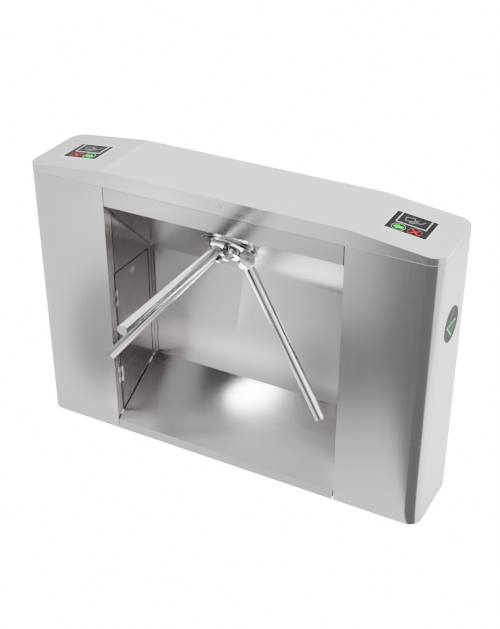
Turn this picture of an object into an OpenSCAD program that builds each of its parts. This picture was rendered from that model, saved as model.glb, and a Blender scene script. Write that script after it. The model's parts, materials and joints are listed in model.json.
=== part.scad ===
// Bridge-type tripod turnstile: two pedestals, a bridge with a 45 degree soffit, and a three-armed rotor.
// Millimetres. +X runs along the cabinet, +Y to its back, +Z up. The origin is the centre of the
// footprint at floor level.

/* [Cabinet] */
// Length of the cabinet
case_l = 1400; // [1360:10:1440]
// Depth of the cabinet, front to back
case_w = 280; // [278:1:282]
// Height to the flat top of the lid
case_h = 980; // [976:1:984]
// Outer radius of the upright corners
corner_r = 45; // [40:1:50]
// Thickness of the folded body sheet
sheet = 1.5; // [1.2:0.1:1.8]
// Visible joint between neighbouring panels
gap = 3; // [2:0.5:4]
// Half the clear width of the opening under the bridge
opening_half = 412; // [405:1:420]

/* [Bridge] */
// Height of the joint between body and lid
lid_joint_z = 928; // [926:1:930]
// Height of the front fascia's lower edge
fascia_z = 864; // [862:1:866]
// Distance from the middle plane to the alcove's back panel
alcove_back_y = 116; // [112:1:118]
// Height where the sloping floor meets the back panel
floor_back_z = 176; // [170:1:182]
// Height of the plinth in front
plinth_z = 37; // [36:1:40]

/* [Lid] */
// Thickness of the lid sheet
lid_sheet = 2; // [1.8:0.1:2.2]
// Distance from the middle to where the lid starts to fall
bend_x = 420; // [415:1:425]
// Height lost from the flat top to the lid's end
lid_fall = 31; // [28:1:33]
// Distance from the middle to each reader window's centre
reader_x = 555; // [545:1:565]
// Reader window size along the cabinet
window_l = 128; // [120:1:132]
// Reader window size across the cabinet
window_w = 114; // [108:1:118]

/* [Rotor] */
// Distance from the fascia's edge down the soffit to the rotor's axis
hub_drop = 107; // [105:1:109]
// Depth of the point where the arms' centre lines meet, behind the soffit's face
apex_depth = 38.5; // [38:0.5:39]
// Distance from that point to the end of an arm
arm_reach = 625; // [560:5:630]
// Outside diameter of an arm
arm_d = 32; // [30:1:34]
// Distance from that point to an arm's pivot pin
pivot_q = 88; // [87:0.5:89]

/* [Direction lights] */
// Height of the round light in each end
light_z = 676; // [660:1:690]
// Radius of its opening
light_r = 57; // [52:1:60]

/* [Hidden] */
$fn = 64;
fit = 0.05;          // radial clearance of a running fit
touch = 0.02;        // clearance between parts that are fastened together
hx = case_l / 2;
hy = case_w / 2;
body_top = lid_joint_z - 1;
lid_foot = lid_joint_z + 1;
lid_tilt = atan(lid_fall / (hx - bend_x));
crease_z = fascia_z - (alcove_back_y + hy);    // the soffit falls at 45 degrees
floor_rise = (floor_back_z - plinth_z) / (alcove_back_y + hy);
floor_tilt = atan(floor_rise);
door_front_y = -100;
door_rear_y = 97;
door_top_z = 602;
door_clear = 2;
door_knuckles = [180, 480];     // heights of the lower ends of the door hinges
lid_pin_y = hy + 3.5;
anchor_x = 540;     // centre of each pair of floor bolts
anchor_l = 140;
anchor_w = 150;
lock_r = 9;
lock_drop = 33;
alcove_clear = 1;
root2 = sqrt(2);
hub_face_y = -hy + hub_drop / root2;
hub_face_z = fascia_z - hub_drop / root2;
apex_y = hub_face_y + apex_depth / root2;
apex_z = hub_face_z + apex_depth / root2;

// Heights along the rotor's axis, from the apex outwards
face_z = apex_depth;
plate_t = 8;
plate_front = face_z - sheet - touch;
plate_back = plate_front - plate_t;
escutcheon_r = 95;
escutcheon_t = 4;
hub_z = face_z + escutcheon_t + 1.5;
hub_r = 88;
pin_r = 6;
pivot_r = pivot_q / root2;     // the pin's distance from the axis, and from the apex along it
cheek_r = 24;
cheek_half = 21;
tongue_half = 10;
tongue_r = 13;
tube_start = 27;     // distance from a pivot pin to its arm's tube
tube_wall = 1.5;
shaft_r = 12.5;
shaft_end_z = -92;
bearing_r = 26;
bearing_w = 15;
housing_r = 38;
housing_l = 60;
ratchet_z = -41;
ratchet_r = 55;
ratchet_t = 6;
ratchet_teeth = 12;
cam_z = -55;
cam_t = 10;
cam_mean_r = 45;
cam_lift = 5;
gear_z = -69;
gear_t = 8;
gear_teeth = 60;
pinion_teeth = 20;
gear_module = 1.5;
gear_centres = gear_module * (gear_teeth + pinion_teeth) / 2;
back_plate_z = -76;
back_plate_t = 4;
encoder_z = -84;
encoder_r = 38;
post_x = 90;
post_y = 60;
pawl_x = 68;
pawl_pivot_y = -35;
pawl_tail_y = -75;
roller_r = 8;
roller_y = -(cam_mean_r + cam_lift + roller_r + 0.5);
lever_pivot = [-52, -68];

// ---------- placing ----------

// The rotor's frame: Z out along its axis, Y up the soffit, X along the cabinet.
module on_rotor_axis() {
    translate([0, apex_y, apex_z]) rotate([135, 0, 0]) children();
}

// One arm's frame: Z out along the arm, X along its pivot pin.
module on_arm(number) {
    on_rotor_axis() rotate([0, 0, 120 * (number - 1)]) rotate([-45, 0, 0]) children();
}

// The sloping end of the lid: Z is its outward normal, X points away from the middle.
module on_lid_end(side) {
    mirror([side < 0 ? 1 : 0, 0, 0])
        translate([reader_x, 0, case_h - (reader_x - bend_x) * tan(lid_tilt)])
            rotate([0, lid_tilt, 0]) children();
}

module both_sides() {
    children();
    mirror([1, 0, 0]) children();
}

module one_side(side) {
    mirror([side < 0 ? 1 : 0, 0, 0]) children();
}

// Extrudes a profile drawn in (Y, Z) along X, from x0 to x1.
module along_x(x0, x1) {
    translate([x0, 0, 0]) rotate([90, 0, 90]) linear_extrude(x1 - x0) children();
}

module ring(outer, inner, height) {
    difference() {
        cylinder(r = outer, h = height);
        translate([0, 0, -1]) cylinder(r = inner, h = height + 2);
    }
}

// ---------- sheet metal ----------

module plan(inset) {
    r = corner_r - inset;
    square([case_l - 2 * corner_r, case_w - 2 * inset], center = true);
    square([case_l - 2 * inset, case_w - 2 * corner_r], center = true);
    for (x = [-1, 1], y = [-1, 1])
        translate([x * (hx - corner_r), y * (hy - corner_r)]) circle(r);
}

// A pedestal's skin: one sheet folded round the corners, with returns into the alcove and the back
module shell(side) {
    color("lightgray") one_side(side) difference() {
        union() {
            intersection() {
                linear_extrude(body_top) difference() {
                    plan(0);
                    plan(sheet);
                }
                translate([opening_half, -hy - 1, 0]) cube([hx, case_w + 2, body_top]);
            }
            // the front return lines the alcove, the rear one joins the back
            translate([opening_half, -hy, 0])
                cube([sheet, door_front_y - gap + hy, body_top]);
            translate([opening_half + gap, hy - 16, 0]) cube([sheet, 16, body_top]);
            translate([opening_half + sheet, -hy, body_top - sheet])
                cube([hx - opening_half - corner_r, 14, sheet]);
        }
        translate([hx - 10, 0, light_z]) rotate([0, 90, 0]) cylinder(r = light_r, h = 20);
        // the base frame's rails pass through both returns
        translate([opening_half - 1, -133, -1]) cube([7, 266, 36]);
        // the soffit's side of the front return is cut back to the soffit's slope
        along_x(opening_half - 1, opening_half + sheet + 1)
            polygon([[-hy + sheet, body_top + 1], [-hy + sheet, fascia_z - sheet + 4],
                [0, fascia_z - hy + 4], [0, body_top + 1]]);
    }
}

// The fascia and the soffit are one sheet, folded at the fascia's lower edge.
module front_soffit() {
    t = sheet;
    color("gainsboro") difference() {
        along_x(-opening_half + gap, opening_half - gap) polygon([
            [-hy, body_top], [-hy, fascia_z], [alcove_back_y, crease_z],
            [alcove_back_y, crease_z + t * root2], [-hy + t, fascia_z + t * (root2 - 1)],
            [-hy + t, body_top - t], [-hy + 14, body_top - t], [-hy + 14, body_top]]);
        on_rotor_axis() translate([0, 0, face_z - 5]) {
            cylinder(r = 40, h = 10);
            for (x = [-1, 1], y = [-1, 1]) translate([55 * x, 55 * y, 0]) cylinder(r = 4.2, h = 10);
        }
    }
}

module back_panel() {
    color("gainsboro")
        translate([-opening_half + alcove_clear, alcove_back_y + touch, floor_back_z - 12])
            cube([2 * (opening_half - alcove_clear), sheet, crease_z - floor_back_z + 24]);
}

module sloped_floor() {
    t = sheet;
    drop = t / cos(floor_tilt);
    color("gainsboro") along_x(-opening_half + gap, opening_half - gap) polygon([
        [-hy, 0], [-hy, plinth_z], [alcove_back_y, floor_back_z],
        [alcove_back_y, floor_back_z - drop], [-hy + t, plinth_z + t * floor_rise - drop],
        [-hy + t, t], [-hy + 5, t], [-hy + 5, 0]]);
}

module rear_panel() {
    color("lightgray") difference() {
        translate([-opening_half + touch, hy - 14, 0])
            cube([2 * (opening_half - touch), 14, body_top]);
        translate([-opening_half + sheet, hy - 15, sheet])
            cube([2 * (opening_half - sheet), 15 - sheet, body_top - 2 * sheet]);
        translate([-opening_half - 1, hy - 15, -1])
            cube([sheet + 3, 15 - sheet, body_top + 2]);
        translate([opening_half - sheet - 2, hy - 15, -1])
            cube([sheet + 3, 15 - sheet, body_top + 2]);
    }
}

// The alcove's side as a (Y, Z) outline, between the soffit and the sloping floor.
function floor_at(y) = plinth_z + (y + hy) * floor_rise;
function soffit_at(y) = fascia_z - (y + hy);

module wall_outline(y0, y1, clearance) {
    polygon([[y0, floor_at(y0) + clearance], [y1, floor_at(y1) + clearance],
        [y1, soffit_at(y1) - clearance], [y0, soffit_at(y0) - clearance]]);
}

module inner_wall(side) {
    color("darkgray") one_side(side) along_x(opening_half, opening_half + sheet) difference() {
        wall_outline(door_front_y, alcove_back_y - 1, -10);
        polygon([[door_front_y - 1, 0], [door_rear_y, 0], [door_rear_y, door_top_z],
            [door_front_y - 1, door_top_z]]);
    }
}

module door(side) {
    y0 = door_front_y;
    y1 = door_rear_y - door_clear;
    top = door_top_z - gap;
    lift = 5;
    color("darkgray") one_side(side) difference() {
        union() {
            along_x(opening_half, opening_half + sheet)
                polygon([[y0, floor_at(y0) + lift], [y1, floor_at(y1) + lift], [y1, top], [y0, top]]);
            along_x(opening_half, opening_half + 16)
                polygon([[y1 - sheet, floor_at(y1) + lift], [y1, floor_at(y1) + lift],
                    [y1, top], [y1 - sheet, top]]);
            along_x(opening_half, opening_half + 16)
                polygon([[y0 + 12, top - sheet], [y1, top - sheet], [y1, top], [y0 + 12, top]]);
            for (z = door_knuckles) translate([opening_half - 3.5, door_front_y - 1, z + 20 + fit])
                difference() {
                    union() {
                        cylinder(r = 3.5, h = 20 - 2 * fit);
                        translate([0, 0, 0]) cube([3.5, 12, 20 - 2 * fit]);
                    }
                    translate([0, 0, -1]) cylinder(r = 2 + fit, h = 30);
                }
        }
        door_lock_place() translate([0, 0, -2]) cylinder(r = lock_r + touch, h = 6);
    }
}

// The lock's frame: Z points out of the door, into the alcove.
module door_lock_place() {
    translate([opening_half, (door_front_y + door_rear_y) / 2, door_top_z - lock_drop])
        rotate([0, -90, 0]) children();
}

module base_frame() {
    rail = 28;
    tube = 2;
    color("dimgray") difference() {
        union() {
            both_sides() translate([opening_half + 14, -120, 0])
                cube([hx - opening_half - 34, 240, 6]);
            for (y = [-1, 1]) translate([-660, y * 118 - rail / 2, 6]) cube([1320, rail, rail]);
            for (x = [-646, -434, 0, 434, 646]) translate([x - rail / 2, -118, 6])
                cube([rail, 236, rail]);
            translate([-30, -120, 0]) cube([60, 240, 6]);
        }
        for (y = [-1, 1]) translate([-661, y * 118 - rail / 2 + tube, 6 + tube])
            cube([1322, rail - 2 * tube, rail - 2 * tube]);
        both_sides() for (x = [-1, 1], y = [-1, 1])
            translate([anchor_x + x * anchor_l / 2, y * anchor_w / 2, -1]) cylinder(r = 7, h = 8);
        both_sides() translate([anchor_x, 0, -1]) cylinder(r = 20, h = 8);
    }
}

// Fixed knuckles, leaves and pins of the lid's two hinges and of both doors
module hinge_knuckles() {
    color("silver") {
        for (x = [-300, 300]) {
            for (s = [-40, 15]) translate([x + s, lid_pin_y, lid_joint_z]) rotate([0, 90, 0])
                cylinder(r = 3.5, h = 25 - fit);
            for (s = [-40, 15]) translate([x + s, hy + touch, lid_joint_z - 28])
                cube([25 - fit, 1.5, 25]);
            translate([x - 41, lid_pin_y, lid_joint_z]) rotate([0, 90, 0])
                cylinder(r = 2 - touch, h = 82);
        }
        both_sides() for (z = door_knuckles) {
            for (s = [0, 40]) translate([opening_half - 3.5, door_front_y - 1, z + s]) {
                cylinder(r = 3.5, h = 20 - fit);
                translate([0, -14, 0]) cube([3.5 - touch, 14, 20 - fit]);
            }
            translate([opening_half - 3.5, door_front_y - 1, z - 1]) cylinder(r = 2 - touch, h = 62);
        }
    }
}

// ---------- lid ----------

module roof(inset) {
    rotate([90, 0, 0]) translate([0, 0, -hy - 1]) linear_extrude(case_w + 2)
        polygon([[-hx, 900], [hx, 900], [hx, case_h - lid_fall - inset], [bend_x, case_h - inset],
            [-bend_x, case_h - inset], [-hx, case_h - lid_fall - inset]]);
}

module lid_solid(inset, foot) {
    intersection() {
        roof(inset);
        translate([0, 0, foot]) linear_extrude(case_h) plan(inset);
    }
}

module lid() {
    color("lightgray") difference() {
        union() {
            difference() {
                lid_solid(0, lid_foot);
                lid_solid(lid_sheet, lid_foot - 5);
            }
            for (x = [-300, 300]) translate([x - 15 + fit, 0, 0]) {
                translate([0, lid_pin_y, lid_joint_z]) rotate([0, 90, 0])
                    cylinder(r = 3.5, h = 30 - 3 * fit);
                translate([0, hy - 1, lid_joint_z + 1.2]) cube([30 - 3 * fit, 2.5, 26]);
                translate([0, lid_pin_y - 3.5, lid_joint_z]) cube([30 - 3 * fit, 1.5, 4]);
            }
        }
        for (x = [-300, 300]) translate([x - 30, lid_pin_y, lid_joint_z]) rotate([0, 90, 0])
            cylinder(r = 2 + fit, h = 60);
        for (side = [-1, 1]) on_lid_end(side) translate([-window_l / 2, -window_w / 2, -6])
            cube([window_l, window_w, 12]);
        lid_lock_place() translate([0, 0, -6]) cylinder(r = lock_r + touch, h = 12);
    }
}

// The lock's frame: Z points out of the lid's front.
module lid_lock_place() {
    translate([0, -hy, (lid_foot + case_h) / 2]) rotate([90, 0, 0]) children();
}

module lock_body() {
    color("silver") difference() {
        union() {
            translate([0, 0, touch]) cylinder(r = lock_r + 2.5, h = 1.5);
            translate([0, 0, -18]) cylinder(r = lock_r - touch, h = 18 + 1);
            translate([0, 0, -lid_sheet - 4 - touch]) ring(lock_r + 4, lock_r - 0.5, 3.5);
        }
        translate([0, 0, -19]) cylinder(r = 6 + fit, h = 30);
    }
}

// Rotating plug with its key slot, and the tongue it swings round by a quarter turn
module lock_core(reach) {
    color("dimgray") difference() {
        union() {
            translate([0, 0, -21]) cylinder(r = 6, h = 22);
            translate([-8, -7, -21]) cube([reach + 8, 14, 2.5]);
        }
        translate([-3.5, -0.8, -6]) cube([7, 1.6, 10]);
    }
}

// A door's core: its frame is turned so that the tongue lies level while unlocked
module door_core() {
    rotate([0, 0, 90]) lock_core(42);
}

module reader_windows() {
    color("black") for (side = [-1, 1]) on_lid_end(side) {
        translate([-window_l / 2 + touch, -window_w / 2 + touch, -lid_sheet - 0.5])
            cube([window_l - 2 * touch, window_w - 2 * touch, lid_sheet + 0.5]);
        translate([-window_l / 2 - 7, -window_w / 2 - 7, -lid_sheet - 3])
            cube([window_l + 14, window_w + 14, 3 - touch]);
    }
}

module card_readers() {
    color("darkslategray") for (side = [-1, 1]) on_lid_end(side)
        translate([-55, -48, -lid_sheet - 16 - touch]) cube([110, 96, 13]);
}

// ---------- ends ----------

module direction_lenses() {
    color("dimgray") both_sides() translate([hx, 0, light_z]) rotate([0, -90, 0]) {
        cylinder(r = light_r - touch, h = sheet + 1);
        translate([0, 0, sheet + touch]) cylinder(r = light_r + 6, h = 3);
    }
}

module light_boards() {
    color("green") both_sides() translate([hx - 16, 0, light_z]) rotate([0, -90, 0])
        cylinder(r = light_r - 4, h = 1.6);
}

// ---------- rotor ----------

// An arm's clevis: the rounded cheek round its pin, standing on the hub's disc
module cheek() {
    difference() {
        rotate([90, 0, 90]) translate([0, 0, -cheek_half]) linear_extrude(2 * cheek_half) {
            translate([pivot_r, pivot_r]) circle(cheek_r);
            translate([30, hub_z + 2]) square([pivot_r + cheek_r - 34, pivot_r - hub_z - 2]);
        }
        translate([-50, 0, hub_z - 50]) cube([100, 150, 52]);
    }
}

module hub() {
    cut = 200;
    color("silver") on_rotor_axis() difference() {
        union() {
            translate([0, 0, hub_z]) cylinder(r = hub_r, h = 5);
            translate([0, 0, hub_z + 4.5]) cylinder(r1 = hub_r - 1, r2 = 46, h = 6);
            translate([0, 0, hub_z + 1]) cylinder(r = 42, h = 23);
            for (number = [1:3]) rotate([0, 0, 120 * (number - 1)]) cheek();
        }
        for (number = [1:3]) rotate([0, 0, 120 * (number - 1)]) {
            rotate([-45, 0, 0]) translate([-tongue_half - 0.5, -cut, pivot_q - tongue_r - 0.5])
                cube([2 * tongue_half + 1, cut + tongue_r + 0.5, cut]);
            translate([-cut / 2, pivot_r, pivot_r]) rotate([0, 90, 0]) cylinder(r = pin_r, h = cut);
        }
        translate([0, 0, hub_z - 1]) cylinder(r = shaft_r + touch, h = 60);
    }
}

module hub_nose() {
    color("silver") on_rotor_axis() {
        translate([0, 0, hub_z + 24 + touch]) cylinder(r1 = 28, r2 = 12, h = 12);
        translate([0, 0, hub_z + 36]) cylinder(r1 = 12, r2 = 9, h = 2);
    }
}

module arm_pins() {
    color("silver") on_rotor_axis() for (number = [1:3]) rotate([0, 0, 120 * (number - 1)])
        translate([-cheek_half - 3, pivot_r, pivot_r]) rotate([0, 90, 0]) {
            cylinder(r = pin_r - touch, h = 2 * cheek_half + 6);
            cylinder(r = 9, h = 3 - touch);
            translate([0, 0, 2 * cheek_half + 3 + touch]) cylinder(r = 9, h = 3 - touch);
        }
}

module arm(number) {
    tube_z = pivot_q + tube_start;
    color("silver") on_arm(number) {
        difference() {
            union() {
                translate([0, 0, pivot_q]) rotate([0, 90, 0])
                    cylinder(r = tongue_r, h = 2 * tongue_half, center = true);
                translate([-tongue_half, -tongue_r, pivot_q])
                    cube([2 * tongue_half, 2 * tongue_r, tube_start + 1]);
                translate([0, 0, tube_z]) cylinder(r = arm_d / 2, h = 6);
                translate([0, 0, tube_z + 5]) cylinder(r = arm_d / 2 - tube_wall / 2, h = 30);
                translate([0, 0, tube_z]) ring(arm_d / 2, arm_d / 2 - tube_wall, arm_reach - tube_z - 3);
            }
            translate([0, 0, pivot_q]) rotate([0, 90, 0])
                cylinder(r = pin_r + fit, h = 60, center = true);
        }
    }
}

module arm_cap(number) {
    color("silver") on_arm(number) {
        translate([0, 0, arm_reach - 3 + touch]) cylinder(r = arm_d / 2, h = 2);
        translate([0, 0, arm_reach - 1]) cylinder(r1 = arm_d / 2, r2 = arm_d / 2 - 1.2, h = 1);
        translate([0, 0, arm_reach - 18]) cylinder(r = arm_d / 2 - tube_wall - touch, h = 16);
    }
}

module main_shaft() {
    color("gray") on_rotor_axis() {
        translate([0, 0, shaft_end_z]) cylinder(r = shaft_r - touch, h = hub_z + 22 - shaft_end_z);
        translate([0, 0, plate_front + touch]) cylinder(r = 17, h = hub_z - plate_front - 2 * touch);
    }
}

module ratchet_wheel() {
    color("slategray") on_rotor_axis() translate([0, 0, ratchet_z]) difference() {
        union() {
            cylinder(r = ratchet_r, h = ratchet_t);
            cylinder(r = 20, h = ratchet_t + 3);
        }
        translate([0, 0, -1]) cylinder(r = shaft_r, h = 20);
        for (a = [0:ratchet_teeth - 1]) rotate([0, 0, a * 360 / ratchet_teeth])
            translate([ratchet_r - 9, -7, -1]) cube([20, 14, ratchet_t + 2]);
    }
}

module centring_cam() {
    color("gray") on_rotor_axis() translate([0, 0, cam_z]) difference() {
        union() {
            linear_extrude(cam_t) polygon([for (a = [0:5:355])
                (cam_mean_r - cam_lift * sin(3 * a)) * [cos(a), sin(a)]]);
            cylinder(r = 20, h = cam_t + 3.5);
        }
        translate([0, 0, -1]) cylinder(r = shaft_r, h = 30);
    }
}

// Involute spur gear: flank angles come from the involute function at each radius.
function involute_angle(a) = tan(a) * 180 / PI - a;
function flank(r, base, half) =
    half + involute_angle(20) - involute_angle(acos(min(1, base / max(r, base))));

module gear(teeth, thickness, bore) {
    pitch_r = gear_module * teeth / 2;
    base_r = pitch_r * cos(20);
    half = 90 / teeth - 0.12 * 180 / PI / pitch_r;
    radii = [for (k = [0:3]) pitch_r - 1.2 * gear_module + k * 2.15 * gear_module / 3];
    linear_extrude(thickness) difference() {
        polygon([for (t = [0:teeth - 1]) each concat(
            [for (r = radii) r * [cos(t * 360 / teeth - flank(r, base_r, half)),
                sin(t * 360 / teeth - flank(r, base_r, half))]],
            [for (k = [3:-1:0]) radii[k] * [cos(t * 360 / teeth + flank(radii[k], base_r, half)),
                sin(t * 360 / teeth + flank(radii[k], base_r, half))]])]);
        circle(bore);
    }
}

module damper_gear() {
    color("goldenrod") on_rotor_axis() {
        translate([0, 0, gear_z]) gear(gear_teeth, gear_t, shaft_r);
        translate([0, 0, gear_z + gear_t]) ring(20, shaft_r, 5.5);
    }
}

module damper_pinion() {
    color("white") on_rotor_axis() translate([0, gear_centres, 0]) {
        translate([0, 0, gear_z]) rotate([0, 0, 180 / pinion_teeth]) gear(pinion_teeth, gear_t, 3);
        translate([0, 0, back_plate_z - 3]) cylinder(r = 4 - touch, h = gear_z + gear_t - back_plate_z + 3);
    }
}

module encoder_disc() {
    color("dimgray") on_rotor_axis() translate([0, 0, encoder_z]) difference() {
        union() {
            cylinder(r = encoder_r, h = 2);
            cylinder(r = 18, h = 7);
        }
        translate([0, 0, -1]) cylinder(r = shaft_r, h = 20);
        for (a = [0:11]) rotate([0, 0, a * 30]) translate([encoder_r - 10, -2.5, -1]) cube([8, 5, 4]);
    }
}

// ---------- bearings and mechanism frame ----------

module at_bearings() {
    on_rotor_axis() for (z = [plate_back - bearing_w, plate_back - housing_l])
        translate([0, 0, z]) children();
}

module bearing_outer_races() {
    color("silver") at_bearings() ring(bearing_r - touch, 22, bearing_w);
}

module bearing_inner_races() {
    color("silver") at_bearings() ring(17, shaft_r, bearing_w);
}

module bearing_housing() {
    color("gray") on_rotor_axis() difference() {
        translate([0, 0, plate_back - housing_l - touch]) cylinder(r = housing_r, h = housing_l);
        translate([0, 0, plate_back - housing_l - 1]) cylinder(r = 23, h = housing_l + 2);
        for (z = [plate_back - bearing_w, plate_back - housing_l - 1])
            translate([0, 0, z - touch]) cylinder(r = bearing_r, h = bearing_w + 1 + 2 * touch);
    }
}

module mechanism_plate() {
    color("slategray") on_rotor_axis() difference() {
        translate([-100, -85, plate_back]) cube([200, 165, plate_t]);
        translate([0, 0, plate_back - 1]) cylinder(r = 22, h = 20);
        for (x = [-1, 1], y = [-1, 1]) translate([55 * x, 55 * y, plate_back - 1])
            cylinder(r = 4, h = 20);
    }
}

module hub_escutcheon() {
    color("silver") on_rotor_axis() translate([0, 0, face_z + touch]) difference() {
        union() {
            cylinder(r = escutcheon_r, h = escutcheon_t - 1);
            translate([0, 0, escutcheon_t - 1]) cylinder(r1 = escutcheon_r, r2 = escutcheon_r - 1.5, h = 1);
        }
        translate([0, 0, -1]) cylinder(r = 19, h = 10);
        for (x = [-1, 1], y = [-1, 1]) translate([55 * x, 55 * y, -1]) {
            cylinder(r = 4, h = 20);
            translate([0, 0, 2]) cylinder(r = 7, h = 20);
        }
    }
}

module mechanism_screws() {
    color("silver") on_rotor_axis() for (x = [-1, 1], y = [-1, 1])
        translate([55 * x, 55 * y, plate_back - 8]) {
            cylinder(r = 4 - touch, h = face_z + 3 - plate_back + 8);
            translate([0, 0, face_z + 2 + 2 * touch - plate_back + 8]) cylinder(r = 6.5, h = 2);
            translate([0, 0, 1]) cylinder(r = 7, h = 6, $fn = 6);
        }
}

// Corner posts, and the pins that the pawls and the centring lever turn on
module mechanism_posts() {
    length = plate_back - back_plate_z - back_plate_t;
    color("silver") on_rotor_axis() {
        for (x = [-1, 1], y = [-1, 1])
            translate([post_x * x, post_y * y, back_plate_z + back_plate_t + touch])
            cylinder(r = 6, h = length - 2 * touch);
        for (x = [-1, 1]) translate([pawl_x * x, pawl_pivot_y, ratchet_z - 3])
            cylinder(r = 4, h = plate_back - ratchet_z + 3 - touch);
        translate([lever_pivot[0], lever_pivot[1], cam_z - 3])
            cylinder(r = 4, h = plate_back - cam_z + 3 - touch);
    }
}

module mechanism_back_plate() {
    color("slategray") on_rotor_axis() difference() {
        translate([-95, -75, back_plate_z]) cube([190, 150, back_plate_t]);
        translate([0, 0, back_plate_z - 1]) cylinder(r = 20, h = 10);
        translate([0, gear_centres, back_plate_z - 1]) cylinder(r = 6, h = 10);
    }
}

module damper_body() {
    color("black") on_rotor_axis() translate([0, gear_centres, back_plate_z - 30 - touch]) difference() {
        cylinder(r = 20, h = 30);
        translate([0, 0, 26]) cylinder(r = 4.5, h = 10);
    }
}

module position_sensors() {
    color("black") on_rotor_axis() for (s = [-1, 1]) rotate([0, 0, 30 * s - 90])
        translate([encoder_r - 12, -6, encoder_z - 5]) difference() {
            cube([24, 12, back_plate_z - encoder_z + 5 - touch]);
            translate([-1, -1, 4]) cube([15, 14, 4]);
        }
}

// ---------- locking ----------

module pawl(side) {
    color("steelblue") on_rotor_axis() one_side(side) translate([0, 0, ratchet_z]) difference() {
        union() {
            translate([pawl_x - 6, pawl_tail_y - 6, 0]) cube([12, 88, ratchet_t]);
            translate([ratchet_r + 2, -4, 0]) cube([pawl_x - ratchet_r, 8, ratchet_t]);
            translate([pawl_x, pawl_pivot_y, 0]) cylinder(r = 9, h = ratchet_t);
        }
        translate([pawl_x, pawl_pivot_y, -1]) cylinder(r = 4 + fit, h = 20);
        translate([pawl_x - 2.7, pawl_tail_y - 4.5, -1]) cube([5.4, 9, 20]);
    }
}

module plunger(side) {
    color("gray") on_rotor_axis() one_side(side)
        translate([pawl_x, pawl_tail_y, ratchet_z + ratchet_t / 2]) {
        translate([22, 0, 0]) rotate([0, 90, 0]) cylinder(r = 5 - fit, h = 40);
        translate([-5, -5, ratchet_t / 2 + 0.5]) cube([30, 10, 3]);
        translate([22, -4, -3]) cube([4, 8, 8]);
        translate([0, 0, -ratchet_t / 2 - 1]) cylinder(r = 2.5, h = ratchet_t + 3);
    }
}

module solenoid_bodies() {
    start = pawl_x + 36;
    color("firebrick") on_rotor_axis() both_sides() difference() {
        union() {
            translate([start, pawl_tail_y - 16, ratchet_z - 14]) cube([46, 32, 34]);
            translate([start + 4, pawl_tail_y - 16, ratchet_z + 20]) cube([38, 32, 12]);
            translate([start - 34, pawl_tail_y - 6, plate_back - 6 - touch]) cube([76, 12, 6]);
            translate([start + 14, pawl_tail_y - 6, ratchet_z + 30])
                cube([10, 12, plate_back - ratchet_z - 32]);
        }
        translate([start - 1, pawl_tail_y, ratchet_z + ratchet_t / 2]) rotate([0, 90, 0])
            cylinder(r = 5, h = 44);
    }
}

module centring_lever() {
    arm_v = [0, roller_y] - lever_pivot;
    reach = norm(arm_v);
    color("steelblue") on_rotor_axis() translate([lever_pivot[0], lever_pivot[1], cam_z + 2])
        rotate([0, 0, atan2(arm_v[1], arm_v[0])]) difference() {
            union() {
                translate([0, -6, -3.5]) cube([reach + 5, 12, 3]);
                translate([0, 0, -3.5]) cylinder(r = 8, h = 8);
                translate([reach, 0, -3.5]) cylinder(r = 3, h = 9);
            }
            translate([0, 0, -5]) cylinder(r = 4 + fit, h = 20);
        }
}

module centring_roller() {
    color("white") on_rotor_axis() translate([0, roller_y, cam_z + 2]) ring(roller_r, 3 + fit, 5);
}

// Torsion spring: flat turns stacked on the lever's boss
module centring_spring() {
    color("gold") on_rotor_axis() translate([lever_pivot[0], lever_pivot[1], cam_z + 7])
        for (turn = [0:4]) translate([0, 0, 2.2 * turn])
            rotate_extrude() translate([6.5, 1]) circle(1, $fn = 24);
}

// ---------- electrics ----------

module control_board() {
    color("green") translate([hx - 8 - 220, hy - 14, 420]) {
        cube([160, 1.6, 220]);
        for (x = [30, 90]) translate([x, -14, 40]) cube([40, 14, 60]);
        for (k = [0:5]) translate([12 + 24 * k, -10, 195]) cube([20, 10, 14]);
        for (x = [8, 152], z = [8, 212]) translate([x, 1.6, z]) rotate([-90, 0, 0]) cylinder(r = 4, h = 10);
    }
}

module power_supply() {
    color("silver") translate([-hx + 60, hy - 52, 420]) cube([160, 48, 110]);
}

module power_cable() {
    color("black") {
        translate([-hx + 100, hy - 28, 34.5]) cylinder(r = 4, h = 380);
        translate([-hx + 100, hy - 28, 400]) cylinder(r = 8, h = 19);
    }
}

// ---------- the parts ----------

base_frame();
shell(-1);  // left_shell
shell(1);  // right_shell
front_soffit();
back_panel();
sloped_floor();
rear_panel();
inner_wall(-1);  // left_inner_wall
inner_wall(1);  // right_inner_wall
hinge_knuckles();
hub_escutcheon();
mechanism_screws();
mechanism_plate();
bearing_housing();
bearing_outer_races();
mechanism_posts();
mechanism_back_plate();
solenoid_bodies();
damper_body();
position_sensors();
control_board();
power_supply();
power_cable();
direction_lenses();
light_boards();
lid();
reader_windows();
card_readers();
lid_lock_place() lock_body();  // lid_lock_body
lid_lock_place() lock_core(36);  // lid_lock_core
door(-1);  // left_door
one_side(-1) door_lock_place() lock_body();  // left_door_lock_body
one_side(-1) door_lock_place() door_core();  // left_door_lock_core
door(1);  // right_door
door_lock_place() lock_body();  // right_door_lock_body
door_lock_place() door_core();  // right_door_lock_core
hub();
hub_nose();
arm_pins();
main_shaft();
bearing_inner_races();
ratchet_wheel();
centring_cam();
damper_gear();
encoder_disc();
arm(1);  // arm_1
arm_cap(1);  // arm_1_cap
arm(2);  // arm_2
arm_cap(2);  // arm_2_cap
arm(3);  // arm_3
arm_cap(3);  // arm_3_cap
damper_pinion();
pawl(-1);  // left_pawl
pawl(1);  // right_pawl
plunger(-1);  // left_plunger
plunger(1);  // right_plunger
centring_lever();
centring_roller();
centring_spring();
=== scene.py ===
import json
from math import atan2, cos, pi, radians, sin

import bmesh
import bpy
from mathutils import Matrix, Vector


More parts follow.
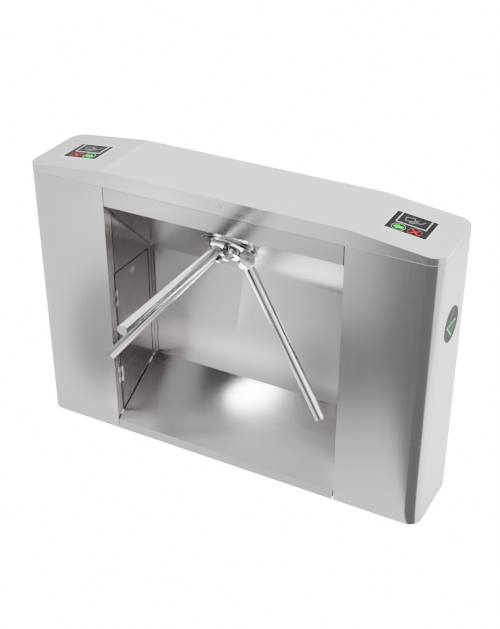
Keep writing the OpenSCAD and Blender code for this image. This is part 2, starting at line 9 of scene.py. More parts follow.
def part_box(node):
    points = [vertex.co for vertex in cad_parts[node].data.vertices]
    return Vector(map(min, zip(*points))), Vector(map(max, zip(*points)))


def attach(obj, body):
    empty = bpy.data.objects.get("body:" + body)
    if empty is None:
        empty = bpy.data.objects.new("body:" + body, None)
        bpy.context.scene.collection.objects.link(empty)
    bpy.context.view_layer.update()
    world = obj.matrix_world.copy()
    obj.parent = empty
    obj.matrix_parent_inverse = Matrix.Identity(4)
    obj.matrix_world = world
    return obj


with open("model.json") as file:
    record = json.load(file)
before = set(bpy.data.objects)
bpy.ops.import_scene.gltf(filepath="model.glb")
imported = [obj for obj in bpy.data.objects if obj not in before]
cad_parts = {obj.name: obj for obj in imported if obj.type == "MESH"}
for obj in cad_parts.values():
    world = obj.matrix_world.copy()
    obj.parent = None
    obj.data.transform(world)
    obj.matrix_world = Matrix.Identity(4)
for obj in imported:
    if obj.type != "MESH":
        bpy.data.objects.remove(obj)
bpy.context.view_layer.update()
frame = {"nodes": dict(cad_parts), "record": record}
NODES = frame["nodes"]
JOINTS = {j["name"]: j for j in frame["record"]["behaviour"]["joints"]}
_, LID_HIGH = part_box("lid")
LENS_LOW, LENS_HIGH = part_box("direction_lenses")
SIDES = ((-1, "left"), (1, "right"))


# ---------- materials ----------

class Shader:
    """A Principled material with a few node helpers."""

    def __init__(self, name, base, metallic, rough):
        self.mat = bpy.data.materials.new(name)
        self.mat.use_nodes = True
        self.nodes = self.mat.node_tree.nodes
        self.links = self.mat.node_tree.links
        self.bsdf = self.nodes["Principled BSDF"]
        self.bsdf.inputs["Base Color"].default_value = (*base, 1)
        self.bsdf.inputs["Metallic"].default_value = metallic
        self.bsdf.inputs["Roughness"].default_value = rough
        self.coord = self.nodes.new("ShaderNodeTexCoord")
        self.base = base
        self.rough = rough

    def noise(self, scale, detail):
        """Object-space noise; scale gives cycles per metre along each axis."""
        mapping = self.nodes.new("ShaderNodeMapping")
        mapping.inputs["Scale"].default_value = scale
        texture = self.nodes.new("ShaderNodeTexNoise")
        texture.inputs["Scale"].default_value = 1.0
        texture.inputs["Detail"].default_value = detail
        self.links.new(self.coord.outputs["Object"], mapping.inputs["Vector"])
        self.links.new(mapping.outputs["Vector"], texture.inputs["Vector"])
        return texture.outputs["Fac"]

    def spread(self, value, low, high):
        """Stretches noise, which mostly lies between a quarter and three quarters, over low to high."""
        node = self.nodes.new("ShaderNodeMapRange")
        node.inputs["From Min"].default_value = 0.25
        node.inputs["From Max"].default_value = 0.75
        node.inputs["To Min"].default_value = low
        node.inputs["To Max"].default_value = high
        self.links.new(value, node.inputs["Value"])
        return node.outputs["Result"]

    def tint(self, value, amount):
        """Varies the base colour by this share of itself, darker and lighter."""
        node = self.nodes.new("ShaderNodeMix")
        node.data_type = "RGBA"
        node.inputs["A"].default_value = (*[c * (1 - amount) for c in self.base], 1)
        node.inputs["B"].default_value = (*[min(1, c * (1 + amount)) for c in self.base], 1)
        self.links.new(self.spread(value, 0, 1), node.inputs["Factor"])
        self.links.new(node.outputs["Result"], self.bsdf.inputs["Base Color"])

    def roughen(self, value, amount):
        result = self.spread(value, self.rough - amount, self.rough + amount)
        self.links.new(result, self.bsdf.inputs["Roughness"])

    def bump(self, value, height, strength):
        node = self.nodes.new("ShaderNodeBump")
        node.inputs["Distance"].default_value = height
        node.inputs["Strength"].default_value = strength
        self.links.new(value, node.inputs["Height"])
        self.links.new(node.outputs["Normal"], self.bsdf.inputs["Normal"])


def brushed(name, base, rough, grain, vary):
    """Sheet steel with a grain: fine scratches along it and soft uneven bands."""
    s = Shader(name, base, 1.0, rough)
    fine = s.noise(grain, 3.0)
    s.tint(s.noise((3.0, 3.0, 2.0), 2.0), vary)
    s.roughen(fine, 0.03)
    s.bump(fine, 0.00001, 0.25)
    return s.mat


def machined(name, base, rough, scale=240.0):
    """Turned, cast or polished metal with an even fine grain."""
    s = Shader(name, base, 1.0, rough)
    grain = s.noise((scale, scale, scale), 3.0)
    s.tint(s.noise((25, 25, 25), 3.0), 0.08)
    s.roughen(grain, min(0.07, rough * 0.5))
    s.bump(grain, 0.00002, 0.4)
    return s.mat


def moulded(name, base, rough, scale=500.0, gloss=0.5):
    """Plastic, rubber or paint."""
    s = Shader(name, base, 0.0, rough)
    s.bsdf.inputs["Specular IOR Level"].default_value = gloss
    grain = s.noise((scale, scale, scale), 2.0)
    s.tint(s.noise((30, 30, 30), 2.0), 0.12)
    s.roughen(grain, min(0.08, rough * 0.6))
    s.bump(grain, 0.00003, 0.5)
    return s.mat


def lit(name, base, strength):
    """Printed or lit marks: a plain colour with a little glow and print mottle."""
    s = Shader(name, base, 0.0, 0.35)
    s.tint(s.noise((400, 400, 400), 2.0), 0.06)
    s.bsdf.inputs["Specular IOR Level"].default_value = 0.02
    s.bsdf.inputs["Emission Color"].default_value = (*base, 1)
    s.bsdf.inputs["Emission Strength"].default_value = strength
    return s.mat


# the brushed grain: few cycles along it, many across it
ALONG_Z = (420.0, 420.0, 5.0)
ALONG_X = (5.0, 420.0, 420.0)

SLOT_MATERIALS = {
    "stainless_sheet": brushed("stainless_sheet", (0.62, 0.585, 0.583), 0.18, ALONG_Z, 0.03),
    "lid_steel": brushed("lid_steel", (0.71, 0.685, 0.692), 0.20, ALONG_X, 0.015),
    # the alcove's sheets: the same stainless sheet made darker, as painted shade in the alcove
    "alcove_steel": brushed("alcove_steel", (0.50, 0.475, 0.472), 0.20, ALONG_X, 0.03),
    "arm_chrome": machined("arm_chrome", (0.80, 0.79, 0.79), 0.10, 60.0),
    "hub_steel": machined("hub_steel", (0.52, 0.505, 0.50), 0.13, 140.0),
    "window_black": moulded("window_black", (0.013, 0.013, 0.014), 0.22, gloss=0.04),
    "lens_grey": moulded("lens_grey", (0.120, 0.118, 0.118), 0.35, gloss=0.0),
    "reader_plastic": moulded("reader_plastic", (0.05, 0.05, 0.055), 0.55),
    "frame_paint": moulded("frame_paint", (0.06, 0.06, 0.065), 0.6, 300.0),
    "lock_chrome": machined("lock_chrome", (0.66, 0.66, 0.66), 0.18),
    "mechanism_zinc": machined("mechanism_zinc", (0.46, 0.46, 0.42), 0.32),
    "cast_alloy": machined("cast_alloy", (0.55, 0.55, 0.55), 0.5, 160.0),
    "bearing_steel": machined("bearing_steel", (0.62, 0.62, 0.62), 0.15),
    "gear_brass": machined("gear_brass", (0.72, 0.52, 0.2), 0.25),
    "gear_acetal": moulded("gear_acetal", (0.78, 0.78, 0.73), 0.4),
    "solenoid_black": moulded("solenoid_black", (0.04, 0.04, 0.045), 0.4),
    "spring_steel": machined("spring_steel", (0.38, 0.38, 0.38), 0.3),
    "board_green": moulded("board_green", (0.02, 0.16, 0.05), 0.45),
    "supply_aluminium": machined("supply_aluminium", (0.6, 0.6, 0.6), 0.4),
    "cable_rubber": moulded("cable_rubber", (0.015, 0.015, 0.015), 0.6),
}
# the passage's side walls and doors: the stainless sheet darker still, as painted shade
SHADED_WALL_STEEL = brushed("wall_steel_painted_shade", (0.40, 0.378, 0.372), 0.20, ALONG_Z, 0.03)
# pale seal in the lid's gap: a painted highlight along the lid's lower edge
SEAL_PAINTED_HIGHLIGHT = moulded("seal_painted_highlight", (0.85, 0.84, 0.84), 0.5)
SOCKET_DARK = moulded("socket_dark", (0.012, 0.012, 0.012), 0.7)
RIM_WHITE = lit("rim_white", (0.92, 0.91, 0.91), 1.2)
PRINT_WHITE = lit("print_white", (0.85, 0.85, 0.87), 0.7)
PRINT_GREY = lit("print_grey", (0.42, 0.42, 0.44), 0.15)
GO_RING = lit("go_ring", (0.42, 0.72, 0.46), 0.2)
STOP_RING = lit("stop_ring", (0.46, 0.16, 0.18), 0.15)
GO_GREEN = lit("go_green", (0.05, 0.70, 0.09), 0.8)
GO_DARK = lit("go_dark", (0.006, 0.045, 0.010), 0.05)
STOP_RED = lit("stop_red", (0.48, 0.045, 0.05), 0.30)
STOP_DARK = lit("stop_dark", (0.055, 0.008, 0.009), 0.05)
LAMP_GREEN = lit("lamp_green", (0.16, 0.66, 0.32), 0.5)
LAMP_DOT = lit("lamp_dot", (0.20, 0.34, 0.25), 0.2)
LAMP_FIELD = lit("lamp_field", (0.022, 0.066, 0.036), 0.25)

# a rolled edge catches light: the bevel's width, and by node where that is too wide or too narrow
EDGE_WIDTH = 0.0004
EDGE_WIDTHS = {"lid": 0.0030, "hub": 0.0016, "hub_nose": 0.0012, "hub_escutcheon": 0.0006,
               "left_shell": 0.0003, "right_shell": 0.0003}
UNBEVELLED = {"damper_gear", "damper_pinion", "centring_cam", "centring_spring"}
NODE_SMOOTH_ANGLE = radians(32)
PIECE_SMOOTH_ANGLE = radians(35)
BEVEL_ANGLE = radians(35)

for name, node in NODES.items():
    slot = next(p["material_slot"] for p in frame["record"]["subparts"] if p["node"] == name)
    node.data.materials.clear()
    shaded = SHADED_WALL_STEEL if name.endswith(("_door", "_inner_wall")) else SLOT_MATERIALS[slot]
    node.data.materials.append(shaded)
    for polygon in node.data.polygons:
        polygon.use_smooth = True
    node.data.set_sharp_from_angle(angle=NODE_SMOOTH_ANGLE)
    if name not in UNBEVELLED:
        bevel = node.modifiers.new("edges", "BEVEL")
        bevel.width = EDGE_WIDTHS.get(name, EDGE_WIDTH)
        bevel.segments = 4 if name == "lid" else 2
        bevel.limit_method = "ANGLE"
        bevel.angle_limit = BEVEL_ANGLE
        bevel.harden_normals = True


# ---------- piece building ----------

def add_piece(name, mesh_builder, place, body, material):
    """Runs mesh_builder on a bmesh, places the result and lets it ride on a body."""
    bm = bmesh.new()
    mesh_builder(bm)
    bmesh.ops.recalc_face_normals(bm, faces=bm.faces)
    mesh = bpy.data.meshes.new(name)
    bm.to_mesh(mesh)
    bm.free()
    for polygon in mesh.polygons:
        polygon.use_smooth = True
    mesh.set_sharp_from_angle(angle=PIECE_SMOOTH_ANGLE)
    mesh.materials.append(material)
    piece = bpy.data.objects.new(name, mesh)
    bpy.context.scene.collection.objects.link(piece)
    piece.matrix_world = place
    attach(piece, body)


def turned_to(x_axis, y_axis, z_axis):
    """The turn that takes local X, Y and Z to these directions."""
    return Matrix((x_axis, y_axis, z_axis)).transposed().to_4x4()


def prism(bm, outline, z0, z1):
    """A flat plate with this outline."""
    low = [bm.verts.new((x, y, z0)) for x, y in outline]
    high = [bm.verts.new((x, y, z1)) for x, y in outline]
    bm.faces.new(low)
    for i in range(len(outline)):
        j = (i + 1) % len(outline)
        bm.faces.new((low[i], low[j], high[j], high[i]))
    bm.faces.new(high)


def stroke(bm, points, width, z0, z1):
    """A line of even width through these points, with mitred corners."""
    left, right = [], []
    for i, p in enumerate(points):
        p = Vector(p)
        before = (p - Vector(points[i - 1])).normalized() if i else None
        after = (Vector(points[i + 1]) - p).normalized() if i + 1 < len(points) else None
        d = ((before or after) + (after or before)).normalized()
        side = Vector((-d.y, d.x))
        across = Vector((-(before or after).y, (before or after).x))
        reach = width / 2 / max(0.4, side.dot(across))
        left.append(p + side * reach)
        right.append(p - side * reach)
    for i in range(len(points) - 1):
        quad = [left[i], left[i + 1], right[i + 1], right[i]]
        prism(bm, [(q.x, q.y) for q in quad], z0, z1)


def circle(radius, centre=(0, 0), steps=40, start=0.0, sweep=2 * pi):
    closed = abs(sweep - 2 * pi) < 1e-6
    count = steps if closed else steps + 1
    return [(centre[0] + radius * cos(start + sweep * i / steps),
             centre[1] + radius * sin(start + sweep * i / steps)) for i in range(count)]


def band(bm, outer, inner, z0, z1):
    """A flat closed band between two outlines with the same number of points."""
    loops = [[bm.verts.new((x, y, z)) for x, y in outline]
             for outline, z in ((outer, z0), (outer, z1), (inner, z1), (inner, z0))]
    for k, a in enumerate(loops):
        b = loops[(k + 1) % len(loops)]
        for i in range(len(a)):
            j = (i + 1) % len(a)
            bm.faces.new((a[i], a[j], b[j], b[i]))


def annulus(bm, outer, inner, z0, z1, steps=48):
    band(bm, circle(outer, steps=steps), circle(inner, steps=steps), z0, z1)


# ---------- reader windows ----------

# the lid's ends slope down from its flat middle
LID_FLAT_END, LID_SLOPE_DROP, LID_SLOPE_RUN = 0.420, 0.031, 0.280
READER_X = 0.555
READER_Z = LID_HIGH.z - (READER_X - LID_FLAT_END) * LID_SLOPE_DROP / LID_SLOPE_RUN
WINDOW_LENGTH, WINDOW_WIDTH = 0.128, 0.114
WINDOW_RIM = 0.0022
# from where to where each layer stands above the window's face
PRINT_LAYER = (0.0, 0.0002)
FIELD_LAYER = (0.0001, 0.0003)
MARK_LAYER = (0.0003, 0.0005)
LOWER_MARK_LAYER = (0.0003, 0.00048)
RIM_LAYER = (0.0, 0.0005)


def reader_place(side, x=0.0, y=0.0):
    """A spot on the left or right window, x along the lid and y across it."""
    turn = Matrix.Rotation(side * atan2(LID_SLOPE_DROP, LID_SLOPE_RUN), 4, "Y")
    return Matrix.Translation((side * READER_X, 0, READER_Z)) @ turn @ Matrix.Translation((x, y, 0))


def window_rim(bm):
    x, y, w = WINDOW_LENGTH / 2, WINDOW_WIDTH / 2, WINDOW_RIM
    corners = [(-x - w, -y - w), (x + w, -y - w), (x + w, y + w), (-x - w, y + w)]
    inner = [(-x, -y), (x, -y), (x, y), (-x, y)]
    for i in range(4):
        j = (i + 1) % 4
        prism(bm, [corners[i], corners[j], inner[j], inner[i]], *RIM_LAYER)


def card_bracket(bm):
    stroke(bm, [(-0.046, 0.054), (-0.046, -0.006), (0.046, -0.006), (0.046, 0.054)], 0.0021, *PRINT_LAYER)


def hand_and_card(bm):
    card = [(-0.030, 0.034), (-0.004, 0.040), (0.002, 0.020), (-0.024, 0.014), (-0.030, 0.034)]
    palm = [(0.030, 0.036), (0.024, 0.022), (0.010, 0.016), (-0.004, 0.008), (-0.012, 0.010),
            (-0.010, 0.014), (0.000, 0.019)]
    thumb = [(0.012, 0.034), (0.004, 0.030), (0.004, 0.024), (0.012, 0.024)]
    stroke(bm, card, 0.0015, *PRINT_LAYER)
    stroke(bm, palm, 0.0017, *PRINT_LAYER)
    stroke(bm, thumb, 0.0015, *PRINT_LAYER)


def go_arrow(direction):
    def build(bm):
        shape = [(-0.0160, 0.0), (-0.001, 0.0140), (-0.001, 0.0064), (0.0145, 0.0064),
                 (0.0145, -0.0064), (-0.001, -0.0064), (-0.001, -0.0140)]
        prism(bm, [(direction * x, y) for x, y in shape], *MARK_LAYER)
    return build


def stop_cross(bm):
    reach, width = 0.0112, 0.0046
    stroke(bm, [(-reach, -reach), (reach, reach)], width, *LOWER_MARK_LAYER)
    stroke(bm, [(-reach, reach), (reach, -reach)], width, *MARK_LAYER)


def mark_field(bm):
    prism(bm, circle(0.0200), *FIELD_LAYER)


def mark_ring(bm):
    annulus(bm, 0.0208, 0.0196, *MARK_LAYER)


for side, label in SIDES:
    place = reader_place(side)
    add_piece(f"{label}_window_rim", window_rim, place, "lid", RIM_WHITE)
    add_piece(f"{label}_card_bracket", card_bracket, place, "lid", PRINT_WHITE)
    add_piece(f"{label}_hand_icon", hand_and_card, place, "lid", PRINT_GREY)
    # each arrow points towards the passage, on the inner side of its window
    go = reader_place(side, -side * 0.027, -0.034)
    stop = reader_place(side, side * 0.023, -0.034)
    add_piece(f"{label}_go_field", mark_field, go, "lid", GO_DARK)
    add_piece(f"{label}_go_arrow", go_arrow(side), go, "lid", GO_GREEN)
    add_piece(f"{label}_stop_field", mark_field, stop, "lid", STOP_DARK)
    add_piece(f"{label}_stop_cross", stop_cross, stop, "lid", STOP_RED)
    add_piece(f"{label}_go_ring", mark_ring, go, "lid", GO_RING)
    add_piece(f"{label}_stop_ring", mark_ring, stop, "lid", STOP_RING)


# ---------- direction lights ----------

LENS_GAP = 0.0001
LENS_MARK_LAYER = (0.0002, 0.0004)
DOT_PITCH, DOT_STEP = 0.0070, 0.0068


def lens_rim(bm):
    annulus(bm, 0.0578, 0.0556, 0.0, 0.0009)


def lens_field(bm):
    outline = [(-0.036, 0.003), (0.008, -0.041), (0.026, -0.036), (0.038, -0.020), (0.041, 0.001)]
    prism(bm, outline, 0.0, 0.00015)


def lens_arrow(bm):
    stroke(bm, [(0.036, 0.001), (-0.038, 0.004), (0.008, -0.042)], 0.0046, *LENS_MARK_LAYER)


def lens_dots(bm):
    """Dim lamps above the arrow, in rows that step to the back as they rise."""
    for row in range(5):
        for column in range(3):
            x = -0.026 + DOT_STEP * row + DOT_PITCH * column
            y = 0.016 + DOT_STEP * row
            prism(bm, circle(0.0018, (x, y), 12), *LENS_MARK_LAYER)


def end_place(side):
    """The middle of an end's light: local Z out of the end, X to the back, Y up on the right end."""
    out = Vector((side, 0, 0))
    back = Vector((0, 1, 0))
    middle = (side * (LENS_HIGH.x + LENS_GAP), 0, (LENS_LOW.z + LENS_HIGH.z) / 2)
    return Matrix.Translation(middle) @ turned_to(back, out.cross(back), out)


for side, label in SIDES:
    place = end_place(side)
    black = SLOT_MATERIALS["window_black"]
    add_piece(f"{label}_lens_rim", lens_rim, place, "cabinet", black)
    add_piece(f"{label}_lens_field", lens_field, place, "cabinet", LAMP_FIELD)
    add_piece(f"{label}_lens_arrow", lens_arrow, place, "cabinet", LAMP_GREEN)
    add_piece(f"{label}_lens_dots", lens_dots, place, "cabinet", LAMP_DOT)


# ---------- lid seal, pale as a painted highlight ---

HALF_DEPTH = 0.140
CORNER_RADIUS = 0.045
LID_SEAL_HEIGHTS = (0.9262, 0.9292)


def rounded_loop(inset, steps=12):
    """The cabinet's plan outline, inset, as points in order."""
    x, y, r = LID_HIGH.x - inset, HALF_DEPTH - inset, CORNER_RADIUS - inset
    points = []
    for quarter, centre in enumerate(((x - r, y - r), (r - x, y - r), (r - x, r - y), (x - r, r - y))):
        points += circle(r, centre, steps, quarter * pi / 2, pi / 2)
    return points


# a seal strip in the lid's gap, its pale colour a painted highlight of the lid's lower edge
def lid_seal_painted_highlight(bm):
    band(bm, rounded_loop(0.0022), rounded_loop(0.0060), *LID_SEAL_HEIGHTS)


add_piece("lid_seal_painted_highlight", lid_seal_painted_highlight, Matrix.Identity(4), "cabinet", SEAL_PAINTED_HIGHLIGHT)


# ---------- hub details ----------

AXIS = Vector(JOINTS["rotor_spin"]["axis"]).normalized()
APEX = Vector(JOINTS["rotor_spin"]["pos_m"])
# square to the rotor's axis, and rising
UP = Vector((0, AXIS.z, -AXIS.y)).normalized()
NOSE_TOP = 0.082
PIN_END = 0.02398


def nose_cap(bm):
    """A shallow turned cap with a centre dimple."""
    dimple = 0.0016
    profile = [(0.0025, 0.0018), (0.0045, 0.0028), (0.0075, 0.0026), (0.0084, 0.0016), (0.0086, 0.0)]
    steps = 40
    rings = [[bm.verts.new((x, y, z)) for x, y in circle(r, steps=steps)] for r, z in profile]
    middle = bm.verts.new((0, 0, dimple))
    for i in range(steps):
        j = (i + 1) % steps
        bm.faces.new((middle, rings[0][i], rings[0][j]))
        for a, b in zip(rings, rings[1:]):
            bm.faces.new((a[i], b[i], b[j], a[j]))


def pin_socket(bm):
    annulus(bm, 0.0052, 0.0030, 0.0, 0.0006, steps=6)


nose_place = (Matrix.Translation(APEX) @ turned_to(UP.cross(AXIS).normalized(), UP, AXIS)
              @ Matrix.Translation((0, 0, NOSE_TOP)))
add_piece("hub_nose_cap", nose_cap, nose_place, "rotor", SLOT_MATERIALS["lock_chrome"])

for number in (1, 2, 3):
    drop = JOINTS[f"arm_{number}_drop"]
    pivot, axis = Vector(drop["pos_m"]), Vector(drop["axis"]).normalized()
    for side, label in SIDES:
        out = axis * side
        across = AXIS.cross(out).normalized()
        spot = Matrix.Translation(pivot + out * PIN_END) @ turned_to(across, out.cross(across), out)
        add_piece(f"arm_{number}_pin_socket_{label}", pin_socket, spot, "rotor", SOCKET_DARK)


# ---------- door seals ----------

SEAL_THICKNESS = 0.0005
SEAL_NEAR, SEAL_FAR = 0.0005, 0.0045


def door_seal(side, label):
    """A dark seal in the gap around a side door, on the passage side of the wall."""
    low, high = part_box(f"{label}_door")
    wall_low, wall_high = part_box(f"{label}_inner_wall")

    def build(bm):
        bars = [(low.y - SEAL_FAR, high.y + SEAL_FAR, high.z + SEAL_NEAR, high.z + SEAL_FAR),
                (low.y - SEAL_FAR, high.y + SEAL_FAR, low.z - SEAL_FAR, low.z - SEAL_NEAR),
                (high.y + SEAL_NEAR, high.y + SEAL_FAR, low.z - SEAL_NEAR, high.z + SEAL_NEAR),
                (low.y - SEAL_FAR, low.y - SEAL_NEAR, low.z - SEAL_NEAR, high.z + SEAL_NEAR)]
        for y0, y1, z0, z1 in bars:
            prism(bm, [(y0, z0), (y1, z0), (y1, z1), (y0, z1)], 0.0, SEAL_THICKNESS)

    face = turned_to((0, 1, 0), (0, 0, 1), (1, 0, 0))
    plane = wall_high.x if side < 0 else wall_low.x - SEAL_THICKNESS
    place = Matrix.Translation((plane, 0, 0)) @ face
    add_piece(f"{label}_door_seal", build, place, "cabinet", SOCKET_DARK)


for side, label in SIDES:
    door_seal(side, label)


# ---------- stage ----------

class Graph:
    """Builds the stage's shaders: number maths, soft masks and blends in a node tree."""

    def __init__(self, tree):
        self.tree = tree

    def put(self, socket, value):
        if isinstance(value, (int, float)):
            socket.default_value = value
        else:
            self.tree.links.new(value, socket)

    def output(self, kind, name):
        return self.tree.nodes.new(kind).outputs[name]

    def split(self, vector):
        node = self.tree.nodes.new("ShaderNodeSeparateXYZ")
        self.tree.links.new(vector, node.inputs["Vector"])
        return node.outputs

    def math(self, operation, a, b=0.0):
        node = self.tree.nodes.new("ShaderNodeMath")
        node.operation = operation
        self.put(node.inputs[0], a)
        self.put(node.inputs[1], b)
        return node.outputs[0]

    def length(self, a, b):
        total = self.math("ADD", self.math("POWER", a, 2), self.math("POWER", b, 2))
        return self.math("SQRT", total)

    def fade(self, value, full, none):
        """1 where value is full or nearer, 0 where it is none or beyond."""
        node = self.tree.nodes.new("ShaderNodeMapRange")
        node.interpolation_type = "SMOOTHSTEP"
        self.put(node.inputs["Value"], value)
        node.inputs["From Min"].default_value = full
        node.inputs["From Max"].default_value = none
        node.inputs["To Min"].default_value = 1.0
        node.inputs["To Max"].default_value = 0.0
        return node.outputs["Result"]

    def mix(self, factor, a, b):
        node = self.tree.nodes.new("ShaderNodeMix")
        node.data_type = "FLOAT"
        self.put(node.inputs["Factor"], factor)
        self.put(node.inputs["A"], a)
        self.put(node.inputs["B"], b)
        return node.outputs["Result"]

    def ellipse(self, x, y, centre, radii, turn, core):
        """Mask of an ellipse on the plane of x and y, full in its core and soft from there out."""
        dx, dy = self.math("SUBTRACT", x, centre[0]), self.math("SUBTRACT", y, centre[1])
        c, s = cos(turn), sin(turn)
        along = self.math("ADD", self.math("MULTIPLY", dx, c / radii[0]),
                          self.math("MULTIPLY", dy, s / radii[0]))
        across = self.math("SUBTRACT", self.math("MULTIPLY", dy, c / radii[1]),
                           self.math("MULTIPLY", dx, s / radii[1]))
        return self.fade(self.length(along, across), core, 1.0)

    def emission(self, strength):
        node = self.tree.nodes.new("ShaderNodeEmission")
        self.put(node.inputs["Strength"], strength)
        return node.outputs[0]

    def blend(self, factor, first, second):
        node = self.tree.nodes.new("ShaderNodeMixShader")
        for socket, value in zip(node.inputs, (factor, first, second)):
            self.tree.links.new(value, socket)
        return node.outputs[0]


def stage_material(name):
    """An empty material, with a function that sets its surface."""
    mat = bpy.data.materials.new(name)
    mat.use_nodes = True
    mat.node_tree.nodes.clear()
    out = mat.node_tree.nodes.new("ShaderNodeOutputMaterial")
    return mat, Graph(mat.node_tree), lambda shader: mat.node_tree.links.new(shader, out.inputs["Surface"])


def add_plane(name, centre, size, material, turn):
    x, y = size[0] / 2, size[1] / 2
    bm = bmesh.new()
    prism(bm, [(-x, -y), (x, -y), (x, y), (-x, y)], -0.0005, 0.0)
    mesh = bpy.data.meshes.new(name)
    bm.to_mesh(mesh)
    bm.free()
    mesh.materials.append(material)
    plane = bpy.data.objects.new(name, mesh)
    plane.matrix_world = Matrix.Translation(centre) @ turn
    bpy.context.scene.collection.objects.link(plane)
    return plane


# how bright the backdrop is to the camera, far above what the picture can show, so it stays white
BACKDROP = 16.0
# the floor that reflections see, from near the cabinet to far from it
FLOOR_NEAR, FLOOR_FAR = 1.6, 0.12
FLOOR_NEAR_END, FLOOR_FAR_START = 2.4, 5.0
# patches on it, each over the ones before: centre, radii, turn, core, level
FLOOR_PATCHES = [
    ((-0.86, -0.70), (0.17, 0.60), -0.60, 0.5, 0.60),  # shade by the left pedestal
    ((0.06, -0.38), (0.26, 0.24), 0.0, 0.4, 0.55),     # shade in front of the passage
    ((-0.27, -0.27), (0.30, 0.09), 0.0, 0.4, 3.5),     # light close in front of it
    ((0.03, -0.98), (0.50, 1.10), -0.49, 0.4, 0.95),   # half shade further out
    ((0.12, -0.90), (0.36, 0.55), -0.49, 0.2, 0.34),   # deep shade within it
    ((-1.28, -1.70), (0.32, 0.20), 0.0, 0.5, 4.0),     # light far out on the left
    ((1.15, 0.85), (0.95, 1.35), 0.0, 0.6, 3.2),       # light beside the right end
]
# a dark wedge that the right front corner mirrors: its tip, bearing, half width and level
WEDGE_TIP = (0.68, -0.12)
WEDGE_BEARING = -1.20
WEDGE_FULL, WEDGE_END = 0.76, 0.92
WEDGE_LEVEL = 0.24


def floor_material():
    """White to the eye; what the sheets mirror is a soft pattern of brighter and darker floor."""
    mat, g, set_surface = stage_material("floor_paint")
    x, y, _ = g.split(g.output("ShaderNodeNewGeometry", "Position"))
    level = g.mix(g.fade(g.length(x, y), FLOOR_NEAR_END, FLOOR_FAR_START), FLOOR_FAR, FLOOR_NEAR)
    for centre, radii, turn, core, patch in FLOOR_PATCHES:
        level = g.mix(g.ellipse(x, y, centre, radii, turn, core), level, patch)
    bearing = g.math("ARCTAN2", g.math("SUBTRACT", y, WEDGE_TIP[1]), g.math("SUBTRACT", x, WEDGE_TIP[0]))
    off = g.math("ABSOLUTE", g.math("SUBTRACT", bearing, WEDGE_BEARING))
    level = g.mix(g.fade(off, WEDGE_FULL, WEDGE_END), level, WEDGE_LEVEL)
    plain = g.tree.nodes.new("ShaderNodeBsdfDiffuse")
    plain.inputs["Color"].default_value = (0.92, 0.92, 0.92, 1)
    rays = g.tree.nodes.new("ShaderNodeLightPath").outputs
    unseen = g.blend(rays["Is Glossy Ray"], plain.outputs[0], g.emission(level))
    set_surface(g.blend(rays["Is Camera Ray"], unseen, g.emission(BACKDROP)))
    return mat


def card(name, centre, size, level, look_at, turn=0.0, core=0.25):
    """A soft-edged studio card that only reflections see, and only from its front."""
    mat, g, set_surface = stage_material(name)
    x, y, _ = g.split(g.output("ShaderNodeTexCoord", "Object"))
    mask = g.ellipse(x, y, (0, 0), (size[0] / 2, size[1] / 2), turn, core)
    back = g.output("ShaderNodeNewGeometry", "Backfacing")
    front = g.math("MULTIPLY", mask, g.math("SUBTRACT", 1.0, back))
    set_surface(g.blend(front, g.output("ShaderNodeBsdfTransparent", "BSDF"), g.emission(level)))
    facing = (Vector(look_at) - Vector(centre)).to_track_quat("Z", "Y").to_matrix().to_4x4()
    side = max(size)
    plane = add_plane(name, centre, (side, side) if turn else size, mat, facing)
    plane.visible_camera = False
    plane.visible_diffuse = False
    plane.visible_shadow = False


add_plane("floor", (0, 0, -0.001), (60, 60), floor_material(), Matrix.Identity(4))
# light and shade that only the alcove's sheets mirror
card("highlight_card", (-0.115, 0.045, 0.455), (0.20, 0.38), 36.0, (0.705, -0.515, 0.355))
card("soffit_shade", (-0.10, -0.070, 0.780), (1.10, 0.22), 0.55, (-0.10, -1.070, -0.220))
card("left_shade", (-0.395, 0.0, 0.42), (0.70, 0.40), 0.60, (1.0, 0.0, 0.42))
card("back_card", (0.17, 0.108, 0.54), (0.34, 0.24), 4.0, (0.17, -1.0, 0.9))
# a dark slanting strip, mirrored across the fascia above the hub
card("strip_card", (-0.09, -0.41, 0.733), (0.12, 0.42), 0.03, (0.055, -0.14, 0.893), 0.78, 0.6)
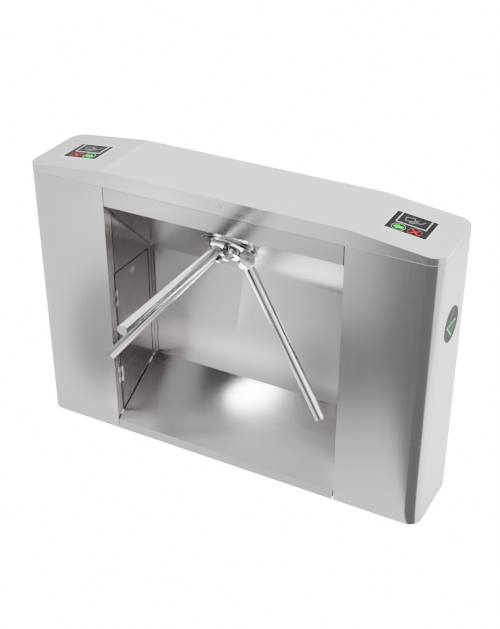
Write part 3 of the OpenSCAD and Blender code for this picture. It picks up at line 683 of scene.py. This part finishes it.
# dark walls of the studio, for the streaks in the round tubes
card("left_wall", (-3.2, -1.6, 1.1), (2.2, 2.0), 0.02, (0, 0, 0.8))
card("front_wall", (0.6, -4.6, 2.1), (3.4, 1.8), 0.02, (0, 0, 0.8))
card("right_wall", (3.6, -1.3, 1.5), (1.5, 3.0), 0.02, (0, 0, 0.8))


def area(name, place, look_at, size, power):
    data = bpy.data.lights.new(name, "AREA")
    data.shape = "RECTANGLE"
    data.size, data.size_y = size
    data.energy = power
    light = bpy.data.objects.new(name, data)
    light.location = place
    light.rotation_euler = (Vector(look_at) - Vector(place)).to_track_quat("-Z", "Y").to_euler()
    bpy.context.scene.collection.objects.link(light)


area("key", (-2.6, -3.2, 3.6), (0, 0, 0.5), (2.4, 2.4), 180)
area("fill", (3.4, -1.2, 3.0), (0, 0, 0.4), (2.0, 2.0), 60)

# the sky that reflections see is brighter at the back, and fades out towards the horizon
SKY_FRONT, SKY_BACK, SKY_HORIZON = 1.2, 2.5, 0.10
SKY_DIFFUSE = 1.4

world = bpy.data.worlds.new("studio")
world.use_nodes = True
g = Graph(world.node_tree)
_, y, z = g.split(g.output("ShaderNodeTexCoord", "Generated"))
sky = g.mix(g.fade(y, 0.40, -0.20), SKY_FRONT, SKY_BACK)
sky = g.mix(g.fade(z, 0.36, 0.08), SKY_HORIZON, sky)
rays = world.node_tree.nodes.new("ShaderNodeLightPath").outputs
level = g.mix(rays["Is Glossy Ray"], SKY_DIFFUSE, sky)
level = g.mix(rays["Is Camera Ray"], level, BACKDROP)
background = world.node_tree.nodes["Background"]
g.put(background.inputs["Strength"], level)
background.inputs["Color"].default_value = (1.0, 0.985, 0.985, 1)
bpy.context.scene.world = world


# ---------- camera ----------

CAMERA_PLACE = Vector((1.5294, -2.8093, 2.4573))
CAMERA_TARGET = Vector((0.0348, 0.0, 0.5183))

camera_data = bpy.data.cameras.new("camera")
camera_data.lens = 66.2
camera_data.sensor_width = 36
camera = bpy.data.objects.new("camera", camera_data)
camera.location = CAMERA_PLACE
camera.rotation_euler = (CAMERA_TARGET - CAMERA_PLACE).to_track_quat("-Z", "Y").to_euler()
bpy.context.scene.collection.objects.link(camera)
bpy.context.scene.camera = camera
